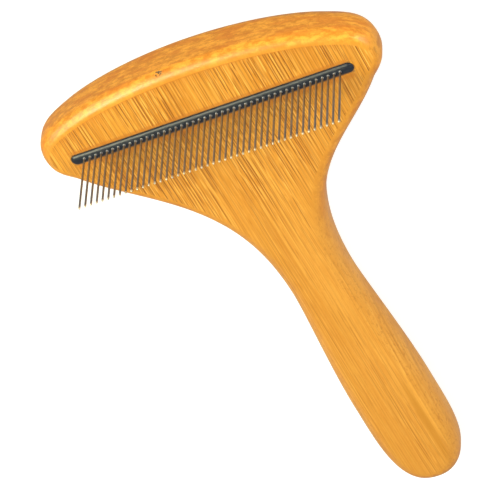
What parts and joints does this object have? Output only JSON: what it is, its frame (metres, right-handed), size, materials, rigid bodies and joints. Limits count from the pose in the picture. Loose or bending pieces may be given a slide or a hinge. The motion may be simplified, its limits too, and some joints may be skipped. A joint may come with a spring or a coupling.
{
  "type": "grooming comb",
  "caption": "T-shaped bamboo pet grooming comb: convex head tapering to a paddle handle, low black bar set in the face, one row of long round-tipped steel pins.",
  "frame": {"origin": "middle of the comb's footprint, on the board's flat back face", "axes": "+X along the head and the row of pins, +Y from the handle towards the crown of the head, +Z out of the face, the way the pins point"},
  "size_m": [0.1152, 0.1998, 0.0402],
  "materials": {
    "bamboo": "satin lacquered laminated bamboo with fine straight grain",
    "black_bar": "satin black",
    "pin_steel": "drawn stainless steel, polished tips"
  },
  "bodies": {
    "root": {"bamboo_body": "bamboo", "pin_bar": "black_bar", "pin_01": "pin_steel", "pin_02": "pin_steel", "pin_03": "pin_steel", "pin_04": "pin_steel", "pin_05": "pin_steel", "pin_06": "pin_steel", "pin_07": "pin_steel", "pin_08": "pin_steel", "pin_09": "pin_steel", "pin_10": "pin_steel", "pin_11": "pin_steel", "pin_12": "pin_steel", "pin_13": "pin_steel", "pin_14": "pin_steel", "pin_15": "pin_steel", "pin_16": "pin_steel", "pin_17": "pin_steel", "pin_18": "pin_steel", "pin_19": "pin_steel", "pin_20": "pin_steel", "pin_21": "pin_steel", "pin_22": "pin_steel", "pin_23": "pin_steel", "pin_24": "pin_steel", "pin_25": "pin_steel", "pin_26": "pin_steel", "pin_27": "pin_steel", "pin_28": "pin_steel", "pin_29": "pin_steel", "pin_30": "pin_steel", "pin_31": "pin_steel", "pin_32": "pin_steel", "pin_33": "pin_steel", "pin_34": "pin_steel", "pin_35": "pin_steel", "pin_36": "pin_steel", "pin_37": "pin_steel", "pin_38": "pin_steel", "pin_39": "pin_steel", "pin_40": "pin_steel", "pin_41": "pin_steel", "pin_42": "pin_steel", "pin_43": "pin_steel", "pin_44": "pin_steel", "pin_45": "pin_steel"}
  },
  "joints": []
}
